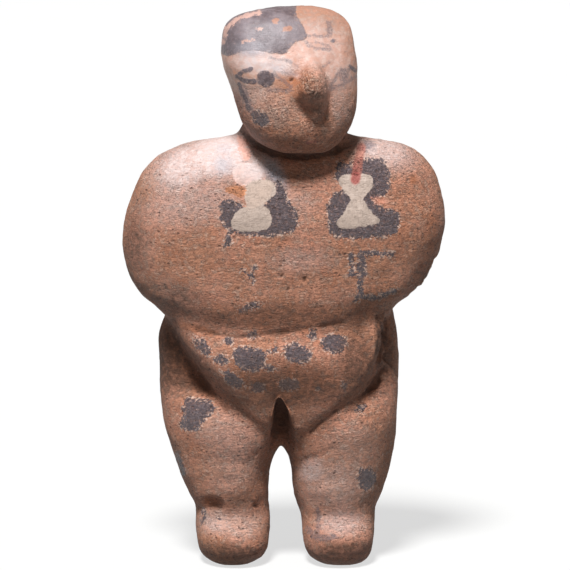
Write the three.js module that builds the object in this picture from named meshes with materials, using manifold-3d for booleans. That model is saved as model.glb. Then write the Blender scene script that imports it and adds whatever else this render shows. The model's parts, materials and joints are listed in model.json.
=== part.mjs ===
// An ancient fired clay figure of a standing person: a head with a ridge nose, set askew on a
// broad roll of shoulders and folded arms, over a bellied trunk and two stub legs with feet.
// It is one piece of clay. Millimetres, +Z up, the face towards -Y, +X to the viewer's right.
// The origin is the centre of the figure's footprint box, on the plane that the soles rest on.

import * as THREE from "three";
import { mergeVertices } from "three/addons/utils/BufferGeometryUtils.js";
import { LoftGeometry } from "three/addons/geometries/LoftGeometry.js";
import Module from "manifold-3d";

const wasm = await Module();
wasm.setup();

// Driving sizes of the figure.
const legHeight = 50; // soles to the arch between the legs
const trunkHeight = 48; // arch to the lower edge of the shoulder roll
const rollHeight = 90; // lower to upper edge of the shoulder roll
const rollWidth = 139.6; // elbow to elbow
const rollDepth = 67; // chest to back
const headHeight = 61; // chin to crown
const headWidth = 57;
const headDepth = 43;
const headReach = 9; // how far the head juts forwards from the middle plane
const headTurn = 14; // degrees, face towards the viewer's right
const chinDrop = 8; // how far the chin sinks below the top of the roll
const noseLength = 29;
const noseWidth = 13;
const noseReach = 9; // how far the ridge stands out of the face
const noseLean = 4; // degrees, its lower end towards the viewer's right
const neckWidth = 44;
const bellyReach = 36; // foremost point of the belly, from the middle plane
const footWidth = 31.5;
const footLength = 46;
const footHeight = 23; // sole to the crease of the ankle
const legGap = 14.3; // between the feet, at its widest
const gapShift = 0.85; // the gap's middle, from the middle plane to the viewer's right
const hipWidth = 104;
const hipShift = 2; // the hips' middle, from the middle plane to the viewer's left
const buttockReach = 33; // hindmost point of the seat, from the middle plane
const slotWidth = 10.5; // groove between the thighs
const slotHeight = 26;

const clay = new THREE.MeshStandardMaterial({ color: 0xb98268, roughness: 0.85, metalness: 0 });

const rollBase = legHeight + trunkHeight;
const rollTop = rollBase + rollHeight;

// A number's power that keeps its sign, which turns a circle into a squarer or leaner round.
const bend = (value, exponent) => Math.sign(value) * Math.abs(value) ** (2 / exponent);

// A closed geometry as a solid that can be joined and cut.
function solid(geometry) {
  const bare = geometry.index ? geometry.toNonIndexed() : geometry.clone();
  bare.deleteAttribute("normal");
  bare.deleteAttribute("uv");
  const merged = mergeVertices(bare, 1e-4);
  return new wasm.Manifold(
    new wasm.Mesh({
      numProp: 3,
      vertProperties: merged.attributes.position.array,
      triVerts: new Uint32Array(merged.index.array),
    }),
  );
}

// A solid as a geometry, with its flat facets.
function geometryOf(made) {
  const mesh = made.getMesh();
  const geometry = new THREE.BufferGeometry();
  geometry.setAttribute("position", new THREE.BufferAttribute(mesh.vertProperties, 3));
  geometry.setIndex(new THREE.BufferAttribute(mesh.triVerts, 1));
  return geometry.toNonIndexed();
}

// A squeezed ball with its own reach to each side. rim gives the squareness of its outline seen
// from the front, one value for each quarter, and crown that of its swell from front to back.
function ball({ at, left, right, up, down, front, back, rim, crown, around, rings }) {
  const geometry = new THREE.SphereGeometry(1, around, rings);
  const place = geometry.attributes.position;
  for (let i = 0; i < place.count; i++) {
    const [x, y, z] = [place.getX(i), place.getY(i), place.getZ(i)];
    const flat = Math.hypot(x, z);
    const angle = Math.atan2(z, x);
    const quarter = (z >= 0 ? "up" : "down") + (x >= 0 ? "Right" : "Left");
    const square = rim[quarter] ?? rim.all;
    const spread = flat ** (2 / crown);
    place.setXYZ(
      i,
      at[0] + spread * bend(Math.cos(angle), square) * (x >= 0 ? right : left),
      at[1] + bend(y, crown) * (y >= 0 ? back : front),
      at[2] + spread * bend(Math.sin(angle), square) * (z >= 0 ? up : down),
    );
  }
  return geometry;
}

// A stack of level sections. Each station gives the height and how far the section reaches from
// the middle planes: its two sides, its front and its back. turn swings every section about its
// own middle, in degrees.
function limb({ stations, square, around, step, turn = 0 }) {
  const heights = stations.map((station) => station.z);
  const reaches = stations.flatMap((s) => [s.left, s.right, s.front, s.back]);
  const profile = new THREE.CubicInterpolant(heights, reaches, 4);
  const [lowest, highest] = [heights[0], heights.at(-1)];
  const count = Math.max(2, Math.round((highest - lowest) / step));
  const swing = THREE.MathUtils.degToRad(turn);
  const sections = [];
  for (let i = 0; i <= count; i++) {
    // Heights crowd towards both ends, where the outline bends most.
    const even = i / count;
    const share = even - (Math.sin(even * 2 * Math.PI) / (2 * Math.PI)) * 0.55;
    const z = lowest + (highest - lowest) * share;
    const [left, right, front, back] = profile.evaluate(z);
    const section = [];
    for (let k = 0; k < around; k++) {
      const angle = (k / around) * 2 * Math.PI;
      const across = (bend(Math.cos(angle), square) * (right - left)) / 2;
      const along = (bend(Math.sin(angle), square) * (back - front)) / 2;
      section.push(
        new THREE.Vector3(
          (left + right) / 2 + across * Math.cos(swing) - along * Math.sin(swing),
          (front + back) / 2 + across * Math.sin(swing) + along * Math.cos(swing),
          z,
        ),
      );
    }
    sections.push(section);
  }
  return new LoftGeometry(sections, { capStart: true, capEnd: true });
}

// Turns rows of shares into stations. Each row is [height, left, right, front, back].
const shares = (rows, base, height, width, depth) =>
  rows.map(([z, left, right, front, back]) => ({
    z: base + z * height,
    left: left * width,
    right: right * width,
    front: front * depth,
    back: back * depth,
  }));

// Shoulders, upper arms and folded forearms, smoothed into one thick roll. Its full underside
// hangs over the belly as a soft lip.
function shoulderRoll() {
  const rows = [
    [0, -0.42, 0.35, -0.6, 0.5],
    [0.033, -0.58, 0.5, -0.8, 0.66],
    [0.078, -0.69, 0.61, -0.9, 0.75],
    [0.119, -0.745, 0.66, -0.94, 0.82],
    [0.156, -0.795, 0.69, -0.96, 0.87],
    [0.196, -0.864, 0.765, -0.975, 0.9],
    [0.233, -0.907, 0.85, -0.985, 0.93],
    [0.311, -0.963, 0.907, -0.995, 0.97],
    [0.389, -0.993, 0.95, -1, 0.99],
    [0.467, -1, 0.981, -1, 1],
    [0.544, -0.988, 0.996, -0.995, 1],
    [0.622, -0.968, 0.993, -0.965, 0.98],
    [0.7, -0.931, 0.968, -0.905, 0.94],
    [0.778, -0.883, 0.944, -0.825, 0.88],
    [0.817, -0.845, 0.92, -0.77, 0.84],
    [0.85, -0.803, 0.88, -0.71, 0.79],
    [0.885, -0.74, 0.84, -0.635, 0.73],
    [0.917, -0.64, 0.76, -0.54, 0.64],
    [0.945, -0.46, 0.6, -0.43, 0.54],
    [0.965, -0.3, 0.42, -0.34, 0.44],
    [1, -0.12, 0.22, -0.18, 0.28],
  ];
  const stations = shares(rows, rollBase, rollHeight, rollWidth / 2, rollDepth / 2);
  return limb({ stations, square: 2.35, around: 48, step: 3.2 });
}

// The middle of the body behind the belly, which closes the arch between the legs.
function trunk() {
  return ball({
    at: [0, 4, rollBase],
    left: hipWidth * 0.42,
    right: hipWidth * 0.42,
    up: rollHeight * 0.4,
    down: trunkHeight - 2,
    front: rollDepth * 0.36,
    back: buttockReach * 0.8,
    rim: { all: 2.2 },
    crown: 2.4,
    around: 32,
    rings: 18,
  });
}

// The belly: a shield that swells forwards under the roll and narrows to the crotch. Its edges
// are ridges that stand clear of the hips behind them.
function belly() {
  const tip = legHeight + 5;
  const top = rollBase + 13;
  const shape = [
    // share of the height, viewer's left edge, viewer's right edge, front
    [0, 0.12, 0.16, 0.6],
    [0.12, 0.3, 0.42, 0.74],
    [0.25, 0.45, 0.63, 0.85],
    [0.39, 0.58, 0.76, 0.93],
    [0.53, 0.7, 0.84, 0.97],
    [0.66, 0.81, 0.9, 0.95],
    [0.8, 0.91, 0.95, 0.84],
    [0.9, 0.96, 0.98, 0.74],
    [1, 1, 1, 0.62],
  ];
  const leftEdge = hipWidth * 0.485;
  const rightEdge = hipWidth * 0.435;
  const stations = shape.map(([share, left, right, front]) => ({
    z: tip + (top - tip) * share,
    left: -left * leftEdge,
    right: right * rightEdge,
    front: -front * bellyReach,
    back: bellyReach * 0.15,
  }));
  return limb({ stations, square: 3, around: 36, step: 4 });
}

// One leg with its foot, thigh and half of the seat. side is -1 for the viewer's left.
function leg(side) {
  const inner = legGap / 2 + side * gapShift;
  const outer = inner + footWidth;
  const knee = legGap * (0.33 - side * 0.09); // inner side of the shank
  const arch = -side * legGap * 0.077; // the arch stands a little to the viewer's left
  const hip = hipWidth / 2 - side * hipShift;
  const toe = -footLength * 0.6;
  const heel = footLength * 0.4;
  const thigh = -bellyReach * 0.69;
  const groin = -bellyReach * 0.4;
  const shin = -footLength * 0.36;
  const calf = footLength * 0.38;
  const shank = legHeight - footHeight;
  const soleEdge = footHeight * 0.28; // round of the sole's edge
  const rows = [
    // height, share of the way from foot to hip, inner side, front, back
    [0, -0.4, inner + soleEdge, toe + soleEdge * 1.5, heel - soleEdge],
    [footHeight * 0.12, -0.17, inner + soleEdge * 0.45, toe + soleEdge * 0.6, heel - soleEdge * 0.4],
    [footHeight * 0.27, -0.05, inner + soleEdge * 0.1, toe + soleEdge * 0.15, heel],
    [footHeight * 0.45, 0, inner, toe, heel],
    [footHeight * 0.63, 0.01, inner - 0.3, toe + 1.5, heel],
    [footHeight * 0.84, 0.01, inner - 0.6, toe + 6.5, heel - 0.7],
    [footHeight, 0.03 + side * 0.03, (inner + knee) / 2, shin, calf],
    [footHeight + shank * 0.22, 0.25 + side * 0.05, knee + 0.4, shin - 0.5, calf + 0.5],
    [footHeight + shank * 0.63, 0.56 + side * 0.06, knee, shin - 3, calf + 3],
    [legHeight - 3, 0.69 + side * 0.05, 3 + arch, shin - 5, calf + 5.5],
    [legHeight, 0.755 + side * 0.06, 1.3 + arch, shin - 6, calf + 6.5],
    [legHeight + 3, 0.8 + side * 0.05, -1.4 + arch, shin - 7, calf + 8],
    [legHeight + trunkHeight * 0.24, 0.895, -2, thigh, buttockReach * 0.87],
    [legHeight + trunkHeight * 0.4, 0.96, -2, thigh + 1.5, buttockReach * 0.95],
    [legHeight + trunkHeight * 0.57, 1.01, -2, groin - 2, buttockReach],
    [legHeight + trunkHeight * 0.8, 1.02, -2, groin, buttockReach * 0.98],
    [rollBase, 1 - side * 0.04, -2, groin, buttockReach * 0.9],
    [rollBase + rollHeight * 0.2, 0.6, -2, groin, buttockReach * 0.75],
  ];
  const stations = rows.map(([z, share, near, front, back]) => {
    const far = outer + share * (hip - outer);
    return { z, left: side < 0 ? -far : near, right: side < 0 ? -near : far, front, back };
  });
  return limb({ stations, square: 2.35, around: 30, step: 4.2 });
}

// The short neck, which flares into the shoulders and leans forwards to the head.
function neck() {
  const half = neckWidth / 2;
  const middle = neckWidth * 0.08;
  const rows = [
    // height over the top of the roll, half width, front, back
    [-14, half + 13, -22, 22],
    [-4, half + 3, -18, 16.5],
    [1, half - 1, -17, 13],
    [6, half - 1.5, -17, 11 - headReach * 0.35],
    [headHeight * 0.3, half - 4, -17, 7.5 - headReach],
  ];
  const stations = rows.map(([z, reach, front, back]) => ({
    z: rollTop + z,
    left: middle - reach,
    right: middle + reach,
    front,
    back,
  }));
  return limb({ stations, square: 2.2, around: 30, step: 3.5 });
}

// The head: broad across the crown, narrowing to a chin that leans to the viewer's right.
function skull() {
  const rows = [
    [0, -0.03, 0.3, -0.53, 0],
    [0.034, -0.13, 0.37, -0.59, 0.093],
    [0.085, -0.215, 0.428, -0.625, 0.163],
    [0.153, -0.275, 0.479, -0.65, 0.21],
    [0.254, -0.325, 0.52, -0.67, 0.255],
    [0.373, -0.362, 0.54, -0.685, 0.29],
    [0.49, -0.403, 0.54, -0.69, 0.315],
    [0.627, -0.453, 0.54, -0.685, 0.325],
    [0.763, -0.46, 0.517, -0.655, 0.32],
    [0.864, -0.442, 0.492, -0.6, 0.3],
    [0.94, -0.36, 0.43, -0.51, 0.235],
    [0.983, -0.19, 0.32, -0.37, 0.13],
    [1, -0.06, 0.24, -0.24, 0.02],
  ];
  const stations = shares(rows, rollTop - chinDrop, headHeight, headWidth, headDepth);
  const forwards = stations.map((s) => ({ ...s, front: s.front - headReach, back: s.back - headReach }));
  return limb({ stations: forwards, square: 2.6, around: 40, step: 2.7, turn: headTurn });
}

// The nose: a blunt ridge that stands out furthest below mid-length.
function nose() {
  const root = 4; // sunk into the face
  const ridge = ball({
    at: [0, 0, 0],
    left: noseWidth / 2,
    right: noseWidth / 2,
    up: noseLength * 0.56,
    down: noseLength * 0.44,
    front: noseReach + root,
    back: root,
    rim: { upLeft: 1.7, upRight: 1.7, downLeft: 2, downRight: 2 },
    crown: 1.8,
    around: 24,
    rings: 14,
  });
  return ridge
    .rotateY(THREE.MathUtils.degToRad(-noseLean))
    .rotateZ(THREE.MathUtils.degToRad(headTurn))
    .translate(
      headWidth * 0.2,
      -headDepth * 0.66 - headReach + root,
      rollTop - chinDrop + headHeight * 0.42,
    );
}

// The groove that runs up from the arch between the thighs, narrower towards its top.
function slot() {
  const middle = -legGap * 0.09;
  const half = slotWidth / 2;
  const top = legHeight + slotHeight;
  const rows = [
    // height, viewer's left and right edge as shares of the half width, back as one of the belly
    [legHeight - 10, -0.75, 0.75, 0.15],
    [legHeight - 3, -1.05, 1.05, 0.2],
    [legHeight + slotHeight * 0.4, -1.05, 1.05, 0.3],
    [top - 4, -0.8, 0.75, 0.5],
    [top, -0.6, 0.5, 0.76],
  ];
  return limb({
    stations: rows.map(([z, left, right, back]) => ({
      z,
      left: middle + left * half,
      right: middle + right * half,
      front: -bellyReach * 1.6,
      back: -bellyReach * back,
    })),
    square: 3.5,
    around: 20,
    step: 3.5,
  });
}

// Old losses on the viewer's right: a flake off the elbow and a rough hollow on the flank.
function losses() {
  const flake = ball({
    at: [rollWidth * 0.475, -rollDepth * 0.36, rollBase + rollHeight * 0.27],
    left: 11,
    right: 11,
    up: 16,
    down: 15,
    front: 11,
    back: 11,
    rim: { all: 2 },
    crown: 2,
    around: 18,
    rings: 12,
  });
  const hollow = ball({
    at: [hipWidth * 0.44, -bellyReach * 0.5, legHeight + trunkHeight * 0.8],
    left: 4.5,
    right: 6,
    up: 17,
    down: 15,
    front: 7,
    back: 7,
    rim: { all: 1.8 },
    crown: 2,
    around: 16,
    rings: 10,
  });
  return [flake, hollow];
}

// All of the clay as one solid, centred on its own footprint box.
function figure() {
  const pieces = [
    shoulderRoll(),
    trunk(),
    belly(),
    leg(-1),
    leg(1),
    neck(),
    skull(),
    nose(),
  ];
  const joined = pieces.map(solid).reduce((whole, piece) => whole.add(piece));
  const cut = [slot(), ...losses()].map(solid).reduce((whole, piece) => whole.subtract(piece), joined);
  const geometry = geometryOf(cut);
  geometry.computeBoundingBox();
  const middle = geometry.boundingBox.getCenter(new THREE.Vector3());
  geometry.translate(-middle.x, -middle.y, -geometry.boundingBox.min.z);
  geometry.computeVertexNormals();
  const mesh = new THREE.Mesh(geometry, clay);
  mesh.name = "clay_figure";
  return mesh;
}

const group = new THREE.Group();
group.add(figure());
export default group;
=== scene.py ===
"""The looks of a fired clay figure: its worn skin, its painted marks and the stage it stands on.

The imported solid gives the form. Its skin is remeshed, softened, pressed and painted here. Marks and
presses are given in millimetres on a front drawing, and everything else is in metres.
"""

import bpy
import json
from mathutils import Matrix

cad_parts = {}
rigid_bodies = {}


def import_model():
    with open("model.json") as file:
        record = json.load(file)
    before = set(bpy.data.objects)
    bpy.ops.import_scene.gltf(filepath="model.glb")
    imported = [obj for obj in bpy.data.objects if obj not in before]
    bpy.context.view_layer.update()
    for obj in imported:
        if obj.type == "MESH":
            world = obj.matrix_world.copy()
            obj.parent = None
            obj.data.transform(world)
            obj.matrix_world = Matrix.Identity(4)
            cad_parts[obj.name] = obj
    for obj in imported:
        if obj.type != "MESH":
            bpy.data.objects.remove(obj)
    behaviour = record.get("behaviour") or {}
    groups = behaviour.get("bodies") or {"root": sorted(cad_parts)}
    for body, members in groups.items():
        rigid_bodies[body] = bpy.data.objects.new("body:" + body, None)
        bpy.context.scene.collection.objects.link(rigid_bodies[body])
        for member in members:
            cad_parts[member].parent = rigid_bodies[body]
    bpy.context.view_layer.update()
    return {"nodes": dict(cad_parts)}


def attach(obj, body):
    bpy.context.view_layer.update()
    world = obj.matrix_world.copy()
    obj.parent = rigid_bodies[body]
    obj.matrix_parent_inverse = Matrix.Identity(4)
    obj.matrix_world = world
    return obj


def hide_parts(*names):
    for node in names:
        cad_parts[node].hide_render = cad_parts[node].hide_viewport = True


bl_info = {
    "name": "Clay Figure",
    "version": (1, 0, 0),
    "blender": (4, 5, 0),
    "location": "View3D > Sidebar > Clay Figure",
    "description": "Models and paints a worn clay figure over its packed solid",
    "category": "Object",
}

import json
import math

import bpy
import numpy as np
from mathutils import Vector

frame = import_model()

SOLID = "clay_figure"
PIECE = "worn_clay_figure"
MM = 0.001

# Where the figure is seen from, for the front drawing and the camera alike, in metres.
VIEW_RISE = math.radians(8)
VIEW_DISTANCE = 1.4
VIEW_AIM = Vector((0.00065, 0.0035, 0.1204))
VIEW_WIDTH = 0.24624  # what the picture takes in, side to side, at the aim

# Between these heights both chin and chest are met, and the chin hangs further forward than this.
CHIN_FOOT = 181 * MM
NECK_TOP = 186 * MM
CHIN_FRONT = -20 * MM

# Heights on the figure: where pits start, where the skin gets more points, where rubbing makes pits
# shallow, and where burnish and the crown's dust set in.
PITS_FROM = 2 * MM
FINE_FROM = 182 * MM
SMOOTH_FROM = 183 * MM
BURNISH_RISE = (196 * MM, 212 * MM)
CROWN_RISE = (213 * MM, 219 * MM)

CRUST_GRAIN = 1.3 * MM
FOOT_DARKENING = 0.7  # how much darker the lowest few millimetres are made
WIDE_ROUNDS, NARROW_ROUNDS = 18, 3  # rounds of averaging that find wide and narrow hollows

# Where the lights stand. The first is a sun, and only its turn counts.
KEY_PLACE = (-0.3, -0.7, 1.3)
FILL_PLACE = (0.5, -1.6, 0.6)

# A distance on the drawing that stands for nowhere near.
FAR_MM = 9.0


# The front drawing

def toward_viewer():
    """The direction from the figure to the place it is seen from."""
    return np.array((0.0, -math.cos(VIEW_RISE), math.sin(VIEW_RISE)))


def front_drawing(points):
    """Where points in metres fall on the drawing: millimetres across, and up from the soles."""
    upward = np.array((0.0, math.sin(VIEW_RISE), math.cos(VIEW_RISE)))
    offset = points - np.array(VIEW_AIM)
    enlarged = VIEW_DISTANCE / (VIEW_DISTANCE - offset @ toward_viewer()) / MM
    across = offset[:, 0] * enlarged + VIEW_AIM.x / MM
    rise = offset @ upward * enlarged + VIEW_AIM.z / MM
    return np.stack((across, rise), axis=1)


def rounded(corners, rounds=2):
    """A closed outline with its corners cut off again and again until it runs round."""
    line = np.array(corners, float)
    for _ in range(rounds):
        onward = np.roll(line, -1, axis=0)
        line = np.stack((0.75 * line + 0.25 * onward, 0.25 * line + 0.75 * onward), axis=1)
        line = line.reshape(-1, 2)
    return line


def to_segment(drawn, start, end):
    """Distance from each drawn point to one straight stretch."""
    run = end - start
    share = np.clip(((drawn - start) @ run) / max(run @ run, 1e-9), 0, 1)
    return np.linalg.norm(drawn - start - share[:, None] * run, axis=1)


def depth_in_outline(drawn, corners):
    """How far each drawn point lies inside a closed outline, negative outside it."""
    onward = np.roll(corners, -1, axis=0)
    distance = np.full(len(drawn), FAR_MM)
    crossings = np.zeros(len(drawn), int)
    for start, end in zip(corners, onward):
        distance = np.minimum(distance, to_segment(drawn, start, end))
        spans = (start[1] > drawn[:, 1]) != (end[1] > drawn[:, 1])
        rise = end[1] - start[1]
        if rise:
            meets = start[0] + (drawn[:, 1] - start[1]) / rise * (end[0] - start[0])
            crossings += spans & (drawn[:, 0] < meets)
    return np.where(crossings % 2 == 1, distance, -distance)


def depth_in_stroke(drawn, points, width):
    """How far each drawn point lies inside a brush stroke along points."""
    line = np.array(points, float)
    distance = np.full(len(drawn), FAR_MM)
    for start, end in zip(line[:-1], line[1:]):
        distance = np.minimum(distance, to_segment(drawn, start, end))
    return width / 2 - distance


def depth_in_spot(drawn, middle, half, turn=0.0):
    """How far each drawn point lies inside an oval with those half sizes, turned in degrees."""
    across, rise = (drawn - np.array(middle)).T
    cos, sin = math.cos(math.radians(turn)), math.sin(math.radians(turn))
    long = (across * cos + rise * sin) / half[0]
    short = (rise * cos - across * sin) / half[1]
    return (1 - np.hypot(long, short)) * min(half)


def smoothstep(value, low, high):
    """Runs softly from 0 to 1 as value goes from low to high."""
    share = np.clip((value - low) / (high - low), 0, 1)
    return share * share * (3 - 2 * share)


# Marks on the front drawing, in millimetres. A patch is a closed outline, a stroke is a line with
# its width, and a spot is a middle, two half sizes and a turn in degrees. Rounds say how often an
# outline's corners are cut off, which is once where none are given.

SLATE_HEAD = {
    "patches": [
        [(-27.5, 220.5), (-23, 219), (-19, 221.5), (-11, 222), (-5, 220.5), (0.8, 220), (3.2, 223.5),
         (5.5, 225.7), (10, 226.5), (10, 229), (8, 233), (5, 237.5), (6, 243), (-12, 244),
         (-24, 238), (-29, 229)],
        [(-11, 212.5), (-7.5, 213.5), (-4, 211.5), (-3.7, 208), (-6.5, 205.7), (-10, 206.3),
         (-11.8, 209)],
        [(-14.5, 195.2), (-10, 196), (-6.3, 193.5), (-5.5, 190), (-9.3, 188.5), (-13.5, 191)],
    ],
    "strokes": [
        ([(-20.2, 210.6), (-17.5, 212.6), (-13.9, 213.8)], 2.0),
        ([(-20, 210.4), (-17, 208.7), (-13.5, 208.3)], 1.9), ([(28.7, 215), (31, 213)], 1.5),
        ([(-19.3, 207.3), (-17, 202), (-14.8, 196.8)], 1.7),
    ],
    "spots": [
        ((21.5, 226), (1.2, 0.9), 0), ((-13.2, 208.3), (1.6, 1.3), 0),
    ],
}

# Dark paint that is worn thin.
THIN_SLATE = {
    "patches": [
        [(-20.5, 208.5), (-17, 207.5), (-14.5, 202), (-12.8, 197), (-11.5, 194), (-15.5, 194.5),
         (-17.8, 200)],
        [(23.5, 214.5), (28.2, 214), (28.3, 208.5), (23.5, 208)],
    ],
    "strokes": [
        ([(10, 228.3), (15, 228), (20.5, 227.7)], 1.2), ([(9.5, 225.2), (15, 225), (20, 223.5)], 1.0),
        ([(10, 223.8), (15, 222.6), (20, 222.2)], 1.3), ([(19.5, 233.5), (20, 229)], 2.6),
        ([(-4, 211.8), (0, 208.7), (3.6, 205.7)], 1.5), ([(-6.5, 204.8), (-2, 204.4), (3, 204.6)], 2.0),
        ([(19.8, 204.7), (21.5, 208.5), (24, 212), (29.3, 213.8)], 1.6),
        ([(19.8, 204.7), (25.5, 207), (31, 210.5)], 1.8), ([(17, 214.5), (20, 216.5)], 1.1),
        ([(-6, 218.6), (2, 217.5), (6, 215)], 1.0), ([(14.8, 23.5), (15.2, 17), (14.8, 10.5)], 2.0),
        ([(11, 15), (13, 12), (18, 11), (22.5, 11.5)], 2.8),
    ],
    "spots": [
        ((36.5, 181), (3.0, 2.0), 0),
    ],
}

SLATE_BODY = {
    "patches": [
        [(-4, 164.6), (-1.8, 165.6), (0.6, 161.3), (3, 156), (6.3, 151), (6.5, 145.7), (3.9, 143.5),
         (-3, 141.5), (-11, 141), (-18.7, 142), (-22.6, 143.2), (-27.4, 147), (-27.7, 156.8),
         (-24.4, 157.6), (-20.5, 156.8), (-16.6, 154), (-11.8, 153.5), (-8.3, 155.7), (-5.7, 158.7)],
        [(-24.8, 144), (-22, 144), (-23, 140.5), (-21.3, 137.2), (-25.6, 136.8), (-26, 138.7),
         (-24.6, 141)],
        [(23.2, 174.5), (28.2, 172.2), (34.7, 175.4), (43.5, 175.4), (46, 170.4), (45.8, 161.2),
         (43, 158.4), (38.5, 157), (42, 154.2), (46.8, 153.5), (50.2, 151.5), (50.5, 146.5),
         (47.8, 141.5), (34.2, 140.2), (23.8, 140.8), (19.2, 143.3), (19.2, 149.2), (18.4, 154.4),
         (20.8, 159.6), (25, 161), (25.3, 164), (22.5, 165.2), (22.9, 170)],
        [(-22, 91.5), (-19.5, 94), (-13.5, 93.5), (-9.5, 92.5), (-7, 89.5), (-8.5, 84.5), (-12, 83),
         (-17.5, 83), (-21, 86.5)],
        [(-2.5, 79), (0, 80), (6.5, 80), (7, 76), (3, 74.5), (-2, 75.5)],
        [(-0.5, 94), (3.5, 96), (9, 94.5), (12.5, 91.5), (11.5, 87), (6.5, 86), (1, 88.5)],
        [(16, 97.5), (21, 99.5), (26, 99), (28, 95.5), (26, 91), (20, 90.5), (16.5, 93)],
        [(-41.5, 72.5), (-37.5, 71), (-32, 71), (-29.5, 68), (-30.5, 64.5), (-34.5, 62), (-36, 58),
         (-41, 57), (-44.5, 58.5), (-44.5, 62), (-43.5, 64.5), (-44, 68)],
        [(32, 40.5), (35.5, 42), (40, 39.5), (40, 34.5), (36.5, 31), (32, 33.5)],
    ],
    "strokes": [
        ([(33, 133.5), (38, 134.2), (47, 133.6)], 2.4), ([(34, 134), (33.6, 125)], 3.4),
        ([(29.2, 133.2), (29.8, 129), (29.8, 125)], 2.4), ([(28.5, 125.2), (35, 125.2)], 2.0),
        ([(32.8, 121.5), (33.6, 117)], 2.4),
        ([(31.5, 113.8), (33.2, 116.5), (37, 114.8), (41, 115.2), (48.2, 118)], 2.1),
        ([(-46, 47.5), (-43, 39)], 2.0), ([(-34.5, 23), (-34.5, 17.5)], 1.6),
    ],
    "spots": [
        ((-35, 94), (5.2, 2.4), -50), ((-23.5, 96), (2.2, 1.8), 0), ((-27, 88), (3.0, 2.2), 0),
        ((-6, 84.5), (3.0, 1.4), 0), ((-4.5, 92), (2.0, 1.2), 0), ((-22, 79.7), (5.6, 2.5), -38),
        ((-11, 76), (3.0, 2.0), 0), ((-13.5, 99), (2.2, 1.6), 0), ((12.5, 99), (1.8, 2.4), 0),
        ((26, 77), (0.9, 1.6), 0), ((15, 75.5), (1.0, 0.7), 0), ((33.5, 67.5), (2.2, 1.6), 30),
        ((-28, 19.8), (0.9, 1.1), 30), ((-17.5, 126.5), (1.4, 0.9), 0), ((-14, 124), (1.2, 1.6), 20),
        ((-12.3, 127), (0.8, 1.4), 0), ((-13, 121.5), (0.7, 1.2), 0), ((-14.5, 111), (4.0, 1.5), 12),
        ((-18.5, 109.5), (1.3, 0.8), 0),
    ],
}

CREAM = {
    "rounds": 2,
    "patches": [
        [(-17.4, 160.5), (-14.8, 165.2), (-10, 166), (-5.5, 165.8), (-2.7, 162.2), (-4.2, 158.6),
         (-7.7, 156.4), (-8.6, 154), (-16, 154), (-16.6, 157)],
        [(-22.8, 148.3), (-21.1, 151.6), (-17.9, 154), (-13.5, 155.2), (-8.5, 154.8), (-5.6, 152.3),
         (-4.9, 148.7), (-5.6, 145.2), (-8.7, 143.9), (-16.1, 143.2), (-21, 143.8), (-22.8, 146)],
        [(23.3, 165.2), (25, 167.7), (28.2, 168.5), (31.2, 167.5), (34.2, 168.5), (38, 168),
         (39.2, 164.6), (37.6, 161), (34.4, 158), (33.5, 155), (29.5, 155), (28.4, 158.5),
         (25.8, 161.2)],
        [(29.3, 158.5), (33.8, 158.5), (37, 152.6), (42.2, 148.3), (41, 146.8), (36, 146),
         (25.6, 144.4), (23.2, 145.6), (23.2, 148), (27.2, 153.5)],
    ],
}

RUST = {
    "strokes": [
        ([(33.6, 180), (32.4, 174), (31, 166)], 3.8), ([(10.5, 182), (14, 182.5)], 1.0),
    ],
}

# Where the red-brown run has gathered.
RUST_END = {
    "strokes": [
        ([(31.3, 167.8), (31, 165.8)], 4.0),
    ],
}

# White paint with a clean edge.
WHITE_PAINT = {
    "rounds": 2,
    "patches": [
        [(-22.5, 168.7), (-21.5, 173), (-16, 173.5), (-11, 173.3), (-8.6, 170.4), (-9, 167.5),
         (-12.3, 164.2), (-16, 163), (-20.8, 164)],
    ],
}

PALE_GAPS = {
    "strokes": [
        ([(-26.4, 225.5), (-24.8, 231), (-20.8, 234.9), (-15.2, 237), (-10.5, 238.3)], 1.7),
    ],
    "spots": [
        ((-10.3, 230.8), (0.9, 0.5), 0), ((-16.6, 225.7), (2.2, 0.5), 10),
    ],
}

ORANGE_CHIPS = {
    "patches": [
        [(-26.5, 161.5), (-22, 163.5), (-17.5, 163), (-15.5, 161), (-18, 157.5), (-22, 159.5)],
    ],
    "spots": [
        ((-3.6, 234.4), (1.4, 1.1), 0), ((1.6, 231.2), (2.1, 1.1), 8),
    ],
}

PINK_CHIPS = {
    "patches": [
        [(-20, 179.5), (-16, 180.5), (-14, 178), (-15, 174.3), (-17.3, 173.8), (-18, 177)],
    ],
    "spots": [
        ((-17.8, 182), (2.0, 3.0), 40), ((41, 157), (3.0, 1.6), -10),
    ],
}

# Soft stains, some of them painted shade or painted highlight: middle, half sizes, turn in degrees and
# strength. Crust is grit that stands out of the face.
CRUST = [
    ((13, 207), (7.5, 8.5), 0, 1.0), ((-3, 197), (15, 9), -25, 0.6), ((8, 187), (15, 6), 0, 0.4),
    ((2, 212), (5, 4), 0, 0.3),
]

# Pale paint thinly washed over the clay, with a painted highlight on the forehead.
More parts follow.
